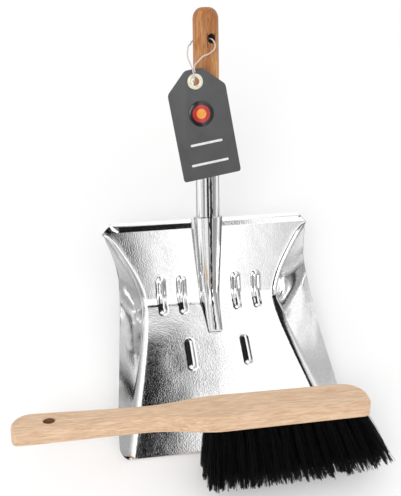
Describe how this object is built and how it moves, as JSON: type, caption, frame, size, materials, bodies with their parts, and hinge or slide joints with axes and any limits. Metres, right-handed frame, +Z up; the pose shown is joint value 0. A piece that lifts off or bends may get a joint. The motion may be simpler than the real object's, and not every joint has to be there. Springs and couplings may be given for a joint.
{
  "type": "dustpan and brush",
  "caption": "Folded galvanised dustpan with flared sides, socketed tube and wooden handle with hang tag, and a flat wooden hand brush with dense dark bristles",
  "frame": {"origin": "on the underside of the pan's flat floor, on the centre line 80 mm behind the lip; Z = 0 is the floor it rests on", "axes": "+X to the right seen from the lip, +Y from the lip towards the handle, +Z up"},
  "size_m": [0.3291, 0.4079, 0.2112],
  "materials": {
    "galvanised_sheet": "bright spangled zinc",
    "galvanised_socket": "bright zinc",
    "galvanised_tube": "bright zinc",
    "handle_wood": "clear lacquer",
    "block_wood": "smooth sanded",
    "black_bristle": "fibre",
    "grey_card": "printed card",
    "cream_eyelet": "cream enamel",
    "tag_badge_enamel": "domed gloss",
    "pale_string": "twisted thread"
  },
  "bodies": {
    "dustpan": {"pan_sheet": "galvanised_sheet", "socket_cone": "galvanised_socket", "handle_tube": "galvanised_tube", "wooden_handle": "handle_wood", "tag_string": "pale_string"},
    "hang_tag": {"tag_card": "grey_card", "tag_eyelet": "cream_eyelet", "tag_badge": "tag_badge_enamel"},
    "brush": {"brush_block": "block_wood", "tuft_front_01": "black_bristle", "tuft_middle_01": "black_bristle", "tuft_back_01": "black_bristle", "tuft_front_02": "black_bristle", "tuft_middle_02": "black_bristle", "tuft_back_02": "black_bristle", "tuft_front_03": "black_bristle", "tuft_middle_03": "black_bristle", "tuft_back_03": "black_bristle", "tuft_front_04": "black_bristle", "tuft_middle_04": "black_bristle", "tuft_back_04": "black_bristle", "tuft_front_05": "black_bristle", "tuft_middle_05": "black_bristle", "tuft_back_05": "black_bristle", "tuft_front_06": "black_bristle", "tuft_middle_06": "black_bristle", "tuft_back_06": "black_bristle", "tuft_front_07": "black_bristle", "tuft_middle_07": "black_bristle", "tuft_back_07": "black_bristle", "tuft_front_08": "black_bristle", "tuft_middle_08": "black_bristle", "tuft_back_08": "black_bristle", "tuft_front_09": "black_bristle", "tuft_middle_09": "black_bristle", "tuft_back_09": "black_bristle", "tuft_front_10": "black_bristle", "tuft_middle_10": "black_bristle", "tuft_back_10": "black_bristle", "tuft_front_11": "black_bristle", "tuft_middle_11": "black_bristle", "tuft_back_11": "black_bristle", "tuft_front_12": "black_bristle", "tuft_middle_12": "black_bristle", "tuft_back_12": "black_bristle", "tuft_front_13": "black_bristle", "tuft_middle_13": "black_bristle", "tuft_back_13": "black_bristle", "tuft_front_14": "black_bristle", "tuft_middle_14": "black_bristle", "tuft_back_14": "black_bristle"}
  },
  "joints": [
    {"name": "brush_lift", "type": "slide", "parent": "dustpan", "child": "brush", "axis": [0, 0, 1], "range_m": [0, 0.15]},
    {"name": "tag_swing", "type": "hinge", "parent": "dustpan", "child": "hang_tag", "pos_m": [-0.01119, 0.21701, 0.16905], "axis": [0, -0.7145, 0.6996], "range_deg": [-30, 30]}
  ]
}
